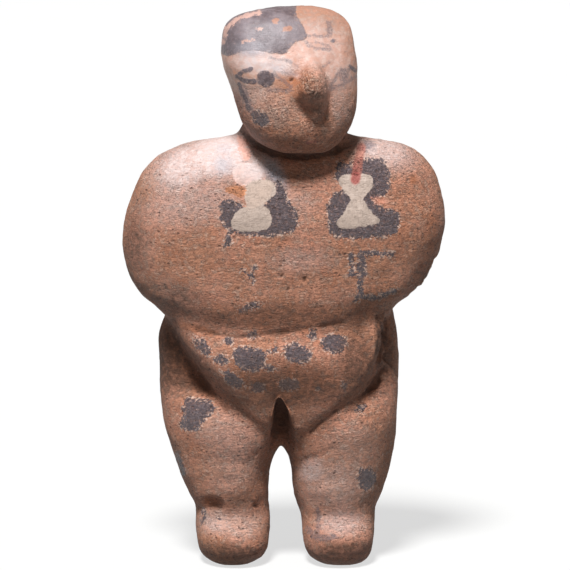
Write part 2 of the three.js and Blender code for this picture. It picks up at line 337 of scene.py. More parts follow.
WHITE_WASH_AND_HIGHLIGHT = [
    ((-27, 177), (20, 13), 12, 1.0), ((-12, 171), (10, 9), 0, 0.85), ((-42, 172), (18, 12), 30, 0.85),
    ((-38, 157), (22, 12), 10, 0.4), ((43, 178), (16, 9), -12, 0.7), ((-8, 216), (17, 6), -5, 1.0),
    ((14, 224), (18, 14), 0, 0.5), ((24, 212), (8, 12), 0, 0.5), ((-14, 205), (12, 10), 0, 0.4),
    ((25, 198), (6, 10), 0, 0.3), ((-5, 196), (12, 8), 0, 0.25), ((12.5, 40), (7, 6), 20, 0.6),
    ((30, 48), (12, 14), 0, 0.2), ((15, 32), (10, 10), 0, 0.25), ((-22, 46), (14, 20), 0, 0.2),
    ((24, 34), (15, 13), 0, 0.35), ((-28, 58), (12, 10), 0, 0.25), ((-18, 17), (10, 8), 0, 0.35),
    ((-28, 18), (10, 6), 0, 0.45), ((25, 18), (12, 7), 0, 0.5), ((5, 155), (10, 8), 0, 0.25),
    ((8, 131), (18, 6), 0, 0.2),
]

# Thinned bluish paint, with a painted highlight on the lower left of the cap.
BLUE_WASH_AND_HIGHLIGHT = [
    ((-3.5, 168.5), (9, 4), -58, 0.95), ((-26, 172), (4.5, 4.5), 0, 0.6),
    ((-25.5, 179), (4, 3), 0, 0.35), ((36, 180), (4, 2.5), 0, 0.4), ((0, 213), (9, 1.6), -20, 0.3),
    ((-8, 227), (13, 7), 10, 0.3), ((-14, 223), (9, 4), 0, 0.85),
]

ORANGE_STAINS = [
    ((7, 212.5), (8, 8), 0, 1.0), ((7, 204), (4, 5), 0, 0.6), ((-8, 187), (8, 3.5), -35, 0.6),
    ((-31, 27), (6, 2.4), -8, 1.0), ((-45, 92), (6, 14), 25, 0.5), ((-38, 82), (5, 16), 40, 0.7),
    ((-38, 101.5), (12, 2.5), -14, 0.6), ((5, 152), (9, 4), 0, 0.35), ((-1, 63), (4, 11), 0, 0.6),
    ((15, 60), (8, 5), 30, 0.3), ((5, 183), (15, 6), 0, 0.5), ((5, 79), (30, 12), 0, 0.4),
    ((0, 107), (48, 7), 0, 0.25), ((56, 166), (2, 3), 0, 0.7), ((48, 155), (14, 22), 0, 0.22),
    ((64, 143), (5, 16), 0, 0.35),
]

# Smoky stains, with painted shade under the nose and along the left arm's edge.
GREY_STAINS_AND_SHADE = [
    ((7, 186), (13, 6), 0, 0.15), ((17, 238), (20, 11), 0, 0.35), ((-61, 135), (5.5, 11), 0, 0.5),
    ((-62, 155), (4, 10), 0, 0.4), ((-50, 117), (15, 7), -22, 0.6), ((18.5, 58), (5, 8), 20, 0.3),
    ((14, 200), (3, 8), 0, 0.4),
]

# Soil, and painted shade where the form turns from the light: under the nose, roll and belly, in the
# slot, in the recess beside the belly, along the left arm and at the soles.
SOIL_AND_SHADE_STAINS = [
    ((13, 205), (5, 6), 0, 0.35), ((10.5, 199.5), (7, 5), 0, 0.35), ((13.5, 193), (5, 5), 0, 0.15),
    ((-23, 5), (14, 4.5), -6, 0.8), ((25, 6), (14, 4.5), 4, 0.8), ((43.5, 91), (4.8, 18), 5, 0.85),
    ((62, 123), (3.5, 8), 35, 0.5), ((-0.5, 60), (4, 10), 0, 0.25), ((-43, 88), (19, 9), -60, 0.55),
    ((-49, 87), (11, 20), 0, 0.95), ((17, 239), (20, 9), 0, 0.2), ((-38, 112), (14, 6), -15, 0.4),
    ((19, 103.5), (8, 1.6), 4, 0.5), ((-52, 84), (1.2, 3), 8, 0.8), ((-44, 79), (13, 7), 0, 0.85),
    ((0, 106), (52, 7), 0, 0.6), ((31, 87), (9, 17), -10, 0.75), ((4, 76), (32, 10), 0, 0.75),
    ((-65, 138), (5, 14), 0, 0.6), ((-22, 34), (12, 6), 0, 0.15),
]


# The skin of the figure

def triples(items, name):
    """One value of three numbers for each item, as rows."""
    values = np.empty(len(items) * 3)
    items.foreach_get(name, values)
    return values.reshape(-1, 3)


class Skin:
    """The figure's points and normals, and where the points fall on the front drawing."""

    def __init__(self, piece):
        self.mesh = piece.data
        self.place = triples(self.mesh.vertices, "co")
        self.normal = triples(self.mesh.vertex_normals, "vector")
        self.drawn = front_drawing(self.place)
        self.facing = self.normal @ toward_viewer()
        self.front = self.facing > 0.02
        self.share = smoothstep(self.facing, 0.0, 0.3)

    def edges(self):
        pairs = np.empty(len(self.mesh.edges) * 2, int)
        self.mesh.edges.foreach_get("vertices", pairs)
        return pairs.reshape(-1, 2)

    def press(self, depth):
        """Sinks each point along its normal, by its own depth in metres."""
        self.place -= self.normal * depth[:, None]

    def write(self):
        """Moves the mesh's points to where they now are."""
        self.mesh.vertices.foreach_set("co", self.place.ravel())
        self.mesh.update()

    def keep(self, name, values):
        """Keeps one number for each point, which a material can read."""
        attribute = self.mesh.attributes.new(name, "FLOAT", "POINT")
        attribute.data.foreach_set("value", values.astype(np.float32))


def depth_in_marks(skin, marks, where):
    """How far each point lies inside the nearest of a set of marks, in millimetres."""
    depth = np.full(len(skin.place), -FAR_MM)
    rounds = marks.get("rounds", 1)
    forms = [(rounded(corners, rounds), depth_in_outline, ()) for corners in marks.get("patches", ())]
    forms += [
        (np.array(points, float), depth_in_stroke, (width,)) for points, width in marks.get("strokes", ())
    ]
    for form, measure, extra in forms:
        reach = FAR_MM / 2
        close = where & np.all(skin.drawn > form.min(0) - reach, axis=1)
        close &= np.all(skin.drawn < form.max(0) + reach, axis=1)
        depth[close] = np.maximum(depth[close], measure(skin.drawn[close], form, *extra))
    for middle, half, turn in marks.get("spots", ()):
        depth[where] = np.maximum(depth[where], depth_in_spot(skin.drawn[where], middle, half, turn))
    return np.clip(depth, -FAR_MM, FAR_MM)


def strength_of_stains(skin, stains, where):
    """How strongly each point is stained, from 0 to 1."""
    strength = np.zeros(len(skin.place))
    for middle, half, turn, full in stains:
        depth = depth_in_spot(skin.drawn, middle, half, turn) / min(half)
        strength = np.maximum(strength, full * smoothstep(depth, -0.35, 0.7))
    return np.where(where, strength, 0)


def hollows(skin, rounds):
    """How far each point lies below its surroundings, in millimetres, after rounds of averaging."""
    start, end = skin.edges().T
    count = len(skin.place)
    shared = np.bincount(start, minlength=count) + np.bincount(end, minlength=count)
    level = skin.place.copy()
    for _ in range(rounds):
        for axis in range(3):
            values = level[:, axis]
            total = np.bincount(start, values[end], count) + np.bincount(end, values[start], count)
            level[:, axis] = total / shared
    return ((level - skin.place) * skin.normal).sum(1) / MM


# Presses into the skin, on the front drawing in millimetres.

# Lines pressed in: points, width and depth.
CREASES = [
    ([(-38, 101), (-30, 99.5), (-21, 98), (-11, 98.9), (0, 99.7), (13, 101.9), (25.5, 103.6)], 1.7, 0.65),
    ([(43, 79), (37.5, 75), (26.5, 68.5), (17.5, 62), (12, 57)], 2.0, 0.7),
    ([(-27, 74), (-20, 68), (-13, 61)], 2.4, 0.5), ([(9, 45), (15, 46.5), (21.5, 49.5)], 2.4, 0.35),
    ([(-37.5, 24), (-31, 24.3), (-27, 24)], 2.2, 0.7), ([(-52, 86.5), (-51, 81.5)], 1.2, 0.8),
    ([(41, 106), (42.5, 98), (41.5, 89)], 2.0, 1.3), ([(44.5, 92), (47, 87), (49.5, 82)], 1.8, 1.2),
    ([(45, 83), (41, 77), (37, 75)], 1.8, 1.0),
    ([(65, 131), (62.5, 125), (58.5, 120.5), (54, 117.5)], 1.6, 0.9),
    ([(-19.5, 187.5), (-12, 181), (-5, 177.5), (10, 175.5), (23, 178.5), (32, 185)], 3.0, 1.5),
]

# Round dents: middle, half sizes, turn in degrees and depth.
DENTS = [
    ((3.5, 209), (1.0, 0.55), 45, 0.9), ((-0.5, 125), (1.0, 0.8), 0, 1.2),
    ((2, 119), (0.9, 0.8), 0, 1.0), ((9, 123), (1.4, 0.9), 0, 1.4), ((-31, 26.5), (5, 2.2), -8, 0.9),
    ((-12, 25), (1.4, 1.0), 0, 0.8), ((12.8, 207), (6.5, 5.5), 0, -0.8),
    ((8.5, 203.5), (5, 5), 0, -1.3),
]

# Places sunk in with a soft rim: an outline, a depth and how wide the rim is.
SUNKEN = [
    ([(-55, 106), (-50, 106), (-42.5, 95), (-35, 84), (-28.5, 75), (-34, 71), (-42, 70.5),
      (-52, 72), (-57, 86)], 4.8, 6.0),
]

# Pulls towards the viewer, or away from it where the height is negative: middle, half sizes,
# turn in degrees and height.
PULLS = [
    ((9.5, 211), (10, 9), 0, 1.4), ((12.3, 197), (6.5, 5.5), 0, -4.0), ((7, 187), (26, 13), 0, 2.4),
    ((-1, 69), (27, 14), 0, -3.6), ((27, 84), (11, 15), 0, -1.6), ((34, 93), (5, 15), 0, -2.0),
    ((43.5, 92), (6, 16), 0, 3.6), ((-25, 46), (17, 26), 0, 2.8), ((23, 44), (16, 26), 0, 2.8),
    ((-26, 27.5), (16, 7), 0, 3.2), ((24, 27.5), (16, 7), 0, 4.0), ((-25, 37), (18, 6.5), 0, 1.6),
    ((-16, 31), (8, 8), 0, 1.2), ((21, 38), (17, 6), 0, 1.3), ((14, 31), (7, 8), 0, 1.1),
    ((0, 94), (30, 8), 0, 1.2),
]
# The forehead leans back between these heights by this much.
FOREHEAD_LEAN = (209, 237, 4.0)

# Where joins are smoothed over once more: points and width.
SMOOTHED_JOINS = [
    ([(-46, 104), (-28.5, 98.5), (-11.5, 99), (3, 100.5), (16, 102.5), (30, 104.5), (39, 107)], 11),
    ([(37, 106), (39, 98), (37.5, 88), (34, 78)], 18), ([(34, 76), (24, 67), (15, 59.5)], 14),
    ([(-29, 76), (-21, 69), (-13, 63)], 12), ([(-50, 107), (-41, 95), (-33, 84), (-27, 76)], 7),
    ([(-44, 48), (-30, 48), (-12, 48)], 18), ([(8, 48), (25, 49), (40, 48)], 18),
    ([(-40, 26), (-26, 26.5), (-9, 26)], 10), ([(7, 26), (24, 26.5), (38, 26)], 10),
    ([(6, 44), (16, 48), (26, 52)], 9),
]

# The slot between the thighs: heights, and at each height how far left and right it opens.
SLOT_HEIGHTS = (54.0, 66.0, 74.5)
SLOT_LEFT = (-4.7, -4.4, -3.5)
SLOT_RIGHT = (4.4, 2.3, -1.0)
CUT_LEFT, CUT_RIGHT = -5.6, 3.2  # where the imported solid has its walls
CUT_REACH = 3.4  # how far to each side the clay moves along with a wall, in half widths
CUT_FROM, CUT_TO = (46, 54), (75, 84)  # heights where this sets in and where it ends
CUT_FRONT = (4 * MM, 14 * MM)  # how far forward of the middle it sets in

SCAR = [
    (42.5, 106), (46, 108), (47.5, 101.5), (49, 87), (46.5, 80), (42.5, 75.5), (36, 76), (41, 83.5),
    (43.5, 93), (42, 100),
]
BROKEN_ELBOW = [(66, 135), (72, 131), (69, 116), (56, 113), (54.5, 118), (60, 122), (63.5, 128)]

# How rough the breaks are: how many waves, how fast they turn in a millimetre, and their height.
ROUGH_WAVES = 14
ROUGH_TURNS = (0.25, 1.3)
ROUGH_GAIN = 2.2

# Pits: the least and the most of half width, half height and depth. The head and the light paint
# are spared these shares of their depth.
PIT_SPANS = ((0.9, 2.6), (0.5, 1.0), (0.15, 0.5))
HEAD_SPARED, CREAM_SPARED = 0.7, 0.9

# Ovals round parts that are treated on their own: a middle and two half sizes. The nose and the
# slot are spared these shares of the softening.
NOSE = ((12, 204), (9, 17))
NOSE_TIP = ((12.5, 206), (5.5, 7.5))
SLOT = ((-0.5, 62), (8, 15))
MOTIFS = (((-10, 154), (19, 21)), ((34, 157), (18, 20)))
NOSE_SPARED, SLOT_SPARED = 0.8, 0.6


def pull_forms(skin):
    """Swells and sinks the face, belly and legs, sinks one flank and leans the forehead back."""
    for middle, half, turn, height in PULLS:
        into = depth_in_spot(skin.drawn, middle, half, turn) / min(half)
        lift = skin.share * smoothstep(into, -0.6, 0.9) * height * MM
        skin.place[:, 1] -= lift
    for outline, depth, rim in SUNKEN:
        into = depth_in_outline(skin.drawn, rounded(outline))
        front_half = smoothstep(-skin.place[:, 1], -4 * MM, 8 * MM)
        skin.place[:, 1] += front_half * smoothstep(into, -rim / 2, rim) * depth * MM
    low, high, lean = FOREHEAD_LEAN
    forward = smoothstep(skin.facing, 0.0, 0.5)
    skin.place[:, 1] += lean * MM * forward * smoothstep(skin.place[:, 2], low * MM, high * MM)


def press_creases_and_dents(skin):
    """Presses thin lines and small round dents into the front."""
    for points, width, depth in CREASES:
        into = depth_in_stroke(skin.drawn, points, width)
        skin.press(skin.share * (depth * smoothstep(into, -width / 2, width / 2)) * MM)
    for middle, half, turn, depth in DENTS:
        into = depth_in_spot(skin.drawn, middle, half, turn) / min(half)
        skin.press(skin.share * (depth * smoothstep(into, -0.5, 0.8)) * MM)


def narrow_slot(skin):
    """Closes the slot between the thighs to a wedge that ends in a point."""
    across, rise = skin.drawn.T
    middle, half = (CUT_LEFT + CUT_RIGHT) / 2, (CUT_RIGHT - CUT_LEFT) / 2
    side = (across - middle) / half
    left = np.interp(rise, SLOT_HEIGHTS, SLOT_LEFT) - CUT_LEFT
    right = np.interp(rise, SLOT_HEIGHTS, SLOT_RIGHT) - CUT_RIGHT
    inside = np.clip((side + 1) / 2, 0, 1)
    shift = left * (1 - inside) + right * inside
    shift = shift * (1 - smoothstep(np.abs(side), 1, CUT_REACH))
    shift = shift * smoothstep(rise, *CUT_FROM) * (1 - smoothstep(rise, *CUT_TO))
    shift = shift * smoothstep(-skin.place[:, 1], *CUT_FRONT)
    skin.place[:, 0] += shift * MM


def press_pits(skin, count, seed):
    """Small pits all over, wider than they are high, as wiping leaves them in gritty clay."""
    draw = np.random.default_rng(seed)
    picked = draw.integers(0, len(skin.place), count)
    wide, high, deep = (draw.uniform(*span, count) * MM for span in PIT_SPANS)
    sink = np.zeros(len(skin.place))
    for index in range(count):
        offset = skin.place - skin.place[picked[index]]
        close = np.abs(offset).max(1) < 2 * wide[index]
        away = np.hypot(np.hypot(offset[close, 0], offset[close, 1]) / wide[index],
                        offset[close, 2] / high[index])
        sink[close] = np.maximum(sink[close], deep[index] * smoothstep(-away, -1.3, -0.1))
    sink *= skin.place[:, 2] > PITS_FROM
    sink *= 1 - HEAD_SPARED * (skin.place[:, 2] > SMOOTH_FROM)
    sink *= 1 - CREAM_SPARED * (depth_in_marks(skin, CREAM, skin.front) > -1)
    skin.press(sink)


def press_breaks(skin, depth, seed):
    """The rough scar on the flank and the broken elbow, both on the viewer's right."""
    draw = np.random.default_rng(seed)
    waves = draw.uniform(*ROUGH_TURNS, (ROUGH_WAVES, 3)) * draw.choice((-1, 1), (ROUGH_WAVES, 3))
    phases = draw.uniform(0, 2 * math.pi, ROUGH_WAVES)
    rough = np.sin(skin.place / MM @ waves.T + phases).mean(1) * ROUGH_GAIN
    for outline in (SCAR, BROKEN_ELBOW):
        into = depth_in_outline(skin.drawn, rounded(outline, 1))
        amount = depth * smoothstep(into, -1.2, 2.0) * (0.75 + 0.55 * rough)
        skin.press(amount * smoothstep(skin.facing, -0.35, 0.1))


# Modelling by operators

def only(piece):
    """Selects one object and nothing else."""
    bpy.ops.object.select_all(action="DESELECT")
    piece.select_set(True)
    bpy.context.view_layer.objects.active = piece


def copied_solid(node, name):
    """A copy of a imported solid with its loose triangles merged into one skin."""
    only(frame["nodes"][node])
    bpy.ops.object.duplicate()
    piece = bpy.context.object
    piece.name = name
    piece.data.name = name
    bpy.ops.object.parent_clear(type="CLEAR_KEEP_TRANSFORM")
    for key in list(piece.keys()):
        del piece[key]
    only(piece)
    bpy.ops.object.mode_set(mode="EDIT")
    bpy.ops.mesh.select_all(action="SELECT")
    bpy.ops.mesh.remove_doubles(threshold=0.01 * MM)
    bpy.ops.object.mode_set(mode="OBJECT")
    return piece


def modified(piece, kind, **settings):
    """Adds one modifier, sets it and applies it."""
    only(piece)
    bpy.ops.object.modifier_add(type=kind)
    modifier = piece.modifiers[-1]
    for name, value in settings.items():
        setattr(modifier, name, value)
    bpy.ops.object.modifier_apply(modifier=modifier.name)


def weighted(piece, name, weights):
    """A vertex group with one weight for each point, in steps of a twentieth."""
    group = piece.vertex_groups.new(name=name)
    steps = np.round(np.clip(weights, 0, 1) * 20).astype(int)
    for step in range(1, 21):
        group.add(np.flatnonzero(steps == step).tolist(), step / 20, "REPLACE")
    return group.name


def displaced(piece, name, size, height, middle, group):
    """Lifts and sinks the skin by a soft pattern with lumps of about that size."""
    texture = bpy.data.textures.new(name, "CLOUDS")
    texture.noise_scale = size
    texture.noise_depth = 2
    modified(piece, "DISPLACE", texture=texture, strength=height * 2, mid_level=middle,
             texture_coords="LOCAL", vertex_group=group)


def refined(piece, chosen):
    """Halves the mesh's edges round the chosen points."""
    only(piece)
    bpy.ops.object.mode_set(mode="EDIT")
    bpy.ops.mesh.select_mode(type="VERT")
    bpy.ops.mesh.select_all(action="DESELECT")
    bpy.ops.object.mode_set(mode="OBJECT")
    piece.data.vertices.foreach_set("select", chosen)
    bpy.ops.object.mode_set(mode="EDIT")
    bpy.ops.mesh.subdivide(number_cuts=1, smoothness=0.0, ngon=True)
    bpy.ops.object.mode_set(mode="OBJECT")


def around(skin, oval, low=-3, high=3):
    """1 within an oval on the front, falling to 0 round it."""
    return np.where(skin.front, smoothstep(depth_in_spot(skin.drawn, *oval), low, high), 0)


def softened_form(piece, shape):
    """Remeshes the facets away and softens every join as wet clay would be."""
    modified(piece, "REMESH", mode="VOXEL", voxel_size=shape.point_spacing, use_smooth_shade=True)
    skin = Skin(piece)
    above_soles = smoothstep(skin.place[:, 2], 0.7 * MM, 6 * MM)
    in_slot = smoothstep(depth_in_spot(skin.drawn, *SLOT), -3, 3)
    weights = above_soles * (1 - NOSE_SPARED * around(skin, NOSE)) * (1 - SLOT_SPARED * in_slot)
    group = weighted(piece, "soft", weights)
    modified(piece, "SMOOTH", factor=0.5, iterations=shape.softening, vertex_group=group)


def smoothed_joins(piece, shape):
    """Smooths over the joins between belly, roll, flanks and thighs."""
    skin = Skin(piece)
    weights = np.zeros(len(skin.place))
    for points, width in SMOOTHED_JOINS:
        into = depth_in_stroke(skin.drawn, points, width)
        weights = np.maximum(weights, skin.share * smoothstep(into, -1, width / 2))
    group = weighted(piece, "joins", weights)
    modified(piece, "SMOOTH", factor=0.5, iterations=shape.join_softening, vertex_group=group)


def roughened(piece, shape):
    """Lifts and sinks the skin by hand-made unevenness, grit and encrustation."""
    group = weighted(piece, "uneven", smoothstep(Skin(piece).place[:, 2], 0.3 * MM, 4 * MM))
    for name, size, height in (
        ("hand_lumps", shape.lump_size, shape.lump_height),
        ("finger_marks", shape.lump_size / 3, shape.lump_height / 2.6),
        ("grit", shape.lump_size / 11, shape.lump_height / 7),
    ):
        displaced(piece, name, size, height, 0.5, group)
    group = weighted(piece, "crusted", around(Skin(piece), NOSE_TIP, -2))
    displaced(piece, "crust", CRUST_GRAIN, shape.crust_height, 0.45, group)


def painted(piece):
    """Keeps, for each point, how deep it lies in each mark, stain and hollow, painted shade and highlight
    included.
    """
    skin = Skin(piece)
    head = skin.front & (skin.place[:, 2] > CHIN_FOOT)
    body = skin.front & (skin.place[:, 2] < NECK_TOP)
    body &= ~(head & (skin.place[:, 1] < CHIN_FRONT))
    slate = np.maximum(depth_in_marks(skin, SLATE_HEAD, head), depth_in_marks(skin, SLATE_BODY, body))
    skin.keep("slate", slate)
    for name, marks, where in (
        ("thin_slate", THIN_SLATE, skin.front),
        ("cream", CREAM, body),
        ("rust", RUST, skin.front),
        ("rust_end", RUST_END, body),
        ("white_paint", WHITE_PAINT, body),
        ("pale_gap", PALE_GAPS, head),
        ("orange_chip", ORANGE_CHIPS, skin.front),
        ("pink_chip", PINK_CHIPS, body),
    ):
        skin.keep(name, depth_in_marks(skin, marks, where))
    for name, stains, where in (
        ("crust", CRUST, head),
        ("white_wash_and_highlight", WHITE_WASH_AND_HIGHLIGHT, skin.front),
        ("blue_wash_and_highlight", BLUE_WASH_AND_HIGHLIGHT, skin.front),
        ("orange_stain", ORANGE_STAINS, skin.front),
        ("grey_stain_and_shade", GREY_STAINS_AND_SHADE, skin.front),
    ):
        skin.keep(name, strength_of_stains(skin, stains, where))
    # Stains of dirt and painted shade, with the lowest few millimetres darkened.
    soil_and_shade = strength_of_stains(skin, SOIL_AND_SHADE_STAINS, skin.front)
    under = smoothstep(-skin.place[:, 2], -9 * MM, -1 * MM) * FOOT_DARKENING
    skin.keep("soil_and_shade", np.maximum(soil_and_shade, under))
    skin.keep("hollow", hollows(skin, WIDE_ROUNDS) + 0.8 * hollows(skin, NARROW_ROUNDS))
    skin.keep("burnish", smoothstep(skin.place[:, 2], *BURNISH_RISE))
    skin.keep("crown", smoothstep(skin.place[:, 2], *CROWN_RISE))


# Shader helpers

# A noise spans about this share of 1, so that heights are multiplied by its inverse.
NOISE_GAIN = 1 / 0.4


def add(tree, kind, inputs=None, **settings):
    """Adds a node. A value in inputs is either set on its socket or, if it is a socket, joined."""
    node = tree.nodes.new("ShaderNode" + kind)
    for name, value in settings.items():
        setattr(node, name, value)
    for key, value in (inputs or {}).items():
        if isinstance(value, bpy.types.NodeSocket):
            tree.links.new(value, node.inputs[key])
        else:
            node.inputs[key].default_value = value
    return node


def calc(tree, operation, first, second=0.0):
    return add(tree, "Math", {0: first, 1: second}, operation=operation).outputs[0]


def between(tree, value, low, high, bottom=0.0, top=1.0):
    """Runs smoothly from bottom to top as value goes from low to high."""
    inputs = {"Value": value, "From Min": low, "From Max": high, "To Min": bottom, "To Max": top}
    return add(tree, "MapRange", inputs, interpolation_type="SMOOTHSTEP").outputs[0]


def mixed(tree, factor, first, second):
    """One colour laid over another by factor."""
    return add(tree, "Mix", {0: factor, 6: first, 7: second}, data_type="RGBA").outputs[2]


def noise(tree, vector, scale, detail=2.0, roughness=0.5, distortion=0.0):
    inputs = {"Vector": vector, "Scale": scale, "Detail": detail, "Roughness": roughness,
              "Distortion": distortion}
    return add(tree, "TexNoise", inputs).outputs[0]


def stretched(tree, vector, scale):
    return add(tree, "Mapping", {"Vector": vector, "Scale": scale}).outputs[0]


def kept(tree, name):
    """A number that the piece keeps for each of its points."""
    return add(tree, "Attribute", attribute_name=name).outputs["Fac"]


def pitting_group():
    """Small pits or grains of uneven size, one in each cell that is picked."""
    group = bpy.data.node_groups.new("Pitting", "ShaderNodeTree")
    for name, way, kind in (
        ("Vector", "INPUT", "Vector"),
        ("Scale", "INPUT", "Float"),
        ("Share", "INPUT", "Float"),
        ("Mask", "OUTPUT", "Float"),
    ):
        group.interface.new_socket(name=name, in_out=way, socket_type="NodeSocket" + kind)
    given = group.nodes.new("NodeGroupInput").outputs
    result = group.nodes.new("NodeGroupOutput").inputs
    wobble = add(group, "TexNoise", {"Vector": given["Vector"], "Scale": 1.6, "Detail": 2.0}).outputs[1]
    pushed = add(group, "VectorMath", {0: wobble, 1: (-0.5, -0.5, -0.5)}, operation="ADD").outputs[0]
    scaled = add(group, "VectorMath", {0: pushed, "Scale": 0.9}, operation="SCALE").outputs[0]
    moved = add(group, "VectorMath", {0: given["Vector"], 1: scaled}, operation="ADD").outputs[0]
    cells = add(group, "TexVoronoi", {"Vector": moved, "Scale": given["Scale"]}, feature="F1")
    pick = add(group, "SeparateColor", {0: cells.outputs["Color"]}).outputs
    size = calc(group, "MULTIPLY", pick[1], 0.38)
    inside = calc(group, "SUBTRACT", size, cells.outputs["Distance"])
    round_mask = between(group, inside, -0.06, 0.1)
    picked = calc(group, "LESS_THAN", pick[0], given["Share"])
    group.links.new(calc(group, "MULTIPLY", round_mask, picked), result["Mask"])
    return group


def edged(tree, depth, ragged, fine, softness=0.3):
    """A painted patch from how deep a point lies in it, with its edge broken up by two noises."""
    shifted = calc(tree, "ADD", depth, calc(tree, "ADD", ragged, fine))
    return between(tree, shifted, -softness, softness)


def centred(tree, value, height):
    """A noise brought round zero, with about that height from trough to crest."""
    return calc(tree, "MULTIPLY", calc(tree, "SUBTRACT", value, 0.5), height * NOISE_GAIN)


def clay_material(clay, paint):
    """Gritty low-fired clay with slip, worn paint, stains and dirt, with painted shade in hollows and
    turned-away places and painted highlights on the head.
    """
    material = bpy.data.materials.new("painted_clay")
    material.use_nodes = True
    tree = material.node_tree
    shader = tree.nodes["Principled BSDF"]
    pitting = pitting_group()

    def pitted(vector, scale, share):
        inputs = {"Vector": vector, "Scale": scale, "Share": share}
        return add(tree, "Group", inputs, node_tree=pitting).outputs["Mask"]

    def rest(share):
        return calc(tree, "SUBTRACT", 1.0, share)

    def total(value, *others):
        for other in others:
            value = calc(tree, "ADD", value, other)
        return value

    def times(first, second):
        return calc(tree, "MULTIPLY", first, second)

    def most(first, second):
        return calc(tree, "MAXIMUM", first, second)

    def ramp(value, low, high, bottom=0.0, top=1.0):
        return between(tree, value, low, high, bottom, top)

    def laid(factor, first, second):
        return mixed(tree, factor, first, second)

    def patch(name, rough, crumbly, softness=0.3):
        """A mark whose edge is broken by two noises of those heights in millimetres."""
        broken = (centred(tree, cloudy, rough), centred(tree, grain, crumbly))
        return edged(tree, kept(tree, name), *broken, softness)

    metres = add(tree, "TexCoord").outputs["Object"]
    at = add(tree, "VectorMath", {0: metres, "Scale": 1 / MM}, operation="SCALE").outputs[0]

    broad = noise(tree, at, 0.035, 3.0, 0.55)
    patchy = noise(tree, at, 0.11, 4.0, 0.6)
    cloudy = noise(tree, at, 0.45, 4.0, 0.6)
    grain = noise(tree, at, 1.5, 3.0, 0.7)
    fine = noise(tree, at, 3.2, 2.0, 0.6)
    gritty = noise(tree, at, 1.25, 2.0, 0.7)
    flaky = noise(tree, at, 0.85, 3.0, 0.65)
    wiped = noise(tree, stretched(tree, at, (0.4, 0.5, 1.3)), 0.95, 3.0, 0.65, 0.8)
    flat = stretched(tree, at, (0.6, 0.6, 1.0))
    pores = pitted(flat, 0.85, 0.3)
    pricks = pitted(flat, 1.5, 0.45)
    temper = pitted(at, 1.1, 0.3)
    on_head = kept(tree, "burnish")
    cared = ramp(on_head, 0.0, 1.0, 1.0, 0.3)
    crust = times(kept(tree, "crust"), ramp(cloudy, 0.35, 0.6, 0.4, 1.0))
    bare = most(rest(times(on_head, 0.8)), crust)

    # Thin wiggling lines that wiping has left, in some places more than in others.
    line = calc(tree, "ABSOLUTE", calc(tree, "SUBTRACT", wiped, 0.5))
    line = ramp(line, 0.0, 0.035, 1.0, 0.0)
    line = times(line, ramp(cloudy, 0.38, 0.56))
    line = times(line, bare)

    # Bare clay, from tan to pink and orange, mottled and wiped.
    colour = laid(ramp(broad, 0.38, 0.62), clay.tan, clay.pink)
    warm = times(ramp(patchy, 0.46, 0.7, 0.0, 0.4), cared)
    colour = laid(warm, colour, clay.orange)
    colour = laid(ramp(cloudy, 0.48, 0.68, 0.0, 0.65), colour, clay.pale)
    smears = times(ramp(wiped, 0.5, 0.66, 0.0, 0.5), bare)
    colour = laid(smears, colour, clay.brown)
    colour = laid(kept(tree, "orange_stain"), colour, clay.stain)
    # Smoky stains, and painted shade under the nose and along the left arm.
    grey_and_shade = times(kept(tree, "grey_stain_and_shade"), ramp(cloudy, 0.3, 0.65, 0.35, 1.0))
    colour = laid(grey_and_shade, colour, clay.grey_and_shade)
    colour = laid(times(temper, 0.65), colour, clay.pale)
    grains = times(ramp(grain, 0.47, 0.66, 0.0, 0.42), bare)
    colour = laid(grains, colour, clay.brown)
    # Thin pale paint, and the painted highlight on the forehead.
    wash_and_highlight = times(kept(tree, "white_wash_and_highlight"), ramp(cloudy, 0.34, 0.6, 0.65, 0.95))
    colour = laid(wash_and_highlight, colour, paint.white)
    white = patch("white_paint", 0.8, 0.5)
    wash_and_highlight = most(wash_and_highlight, white)
    colour = laid(times(white, 0.35), colour, paint.white)
    # Thinned bluish paint, and the painted highlight on the cap.
    haze_and_highlight = times(kept(tree, "blue_wash_and_highlight"), ramp(grain, 0.3, 0.6, 0.6, 1.0))
    colour = laid(haze_and_highlight, colour, paint.blue)

    # Paint, broken along its edges and worn off the grain's high points.
    ragged = times(centred(tree, cloudy, 1.5), cared)
    crumbled = times(centred(tree, grain, 1.1), cared)
    depth = kept(tree, "slate")
    worn = ramp(flaky, 0.53, 0.58)
    worn = times(worn, ramp(depth, 0.2, 2.4, 1.0, 0.15))
    ground = times(worn, ramp(depth, -1.2, -0.4, 0.0, 0.8))
    colour = laid(times(ground, cared), colour, paint.ground)
    worn = most(worn, times(temper, 0.5))
    holding = rest(times(worn, cared))
    cream = patch("cream", 0.8, 0.6)
    slate = times(edged(tree, depth, ragged, crumbled), holding)
    thin = patch("thin_slate", 1.2, 1.4)
    thin = times(thin, ramp(grain, 0.4, 0.6, 0.85, 0.3))
    slate_tone = laid(ramp(cloudy, 0.35, 0.65), paint.slate, paint.slate_light)
    slate_tone = laid(ramp(fine, 0.42, 0.62, 0.0, 0.4), slate_tone, paint.slate_dark)
    dust = times(kept(tree, "crown"), ramp(patchy, 0.36, 0.6, 0.15, 0.6))
    slate_tone = laid(dust, slate_tone, paint.slate_dusty)
    colour = laid(thin, colour, paint.slate_light)
    colour = laid(slate, colour, slate_tone)
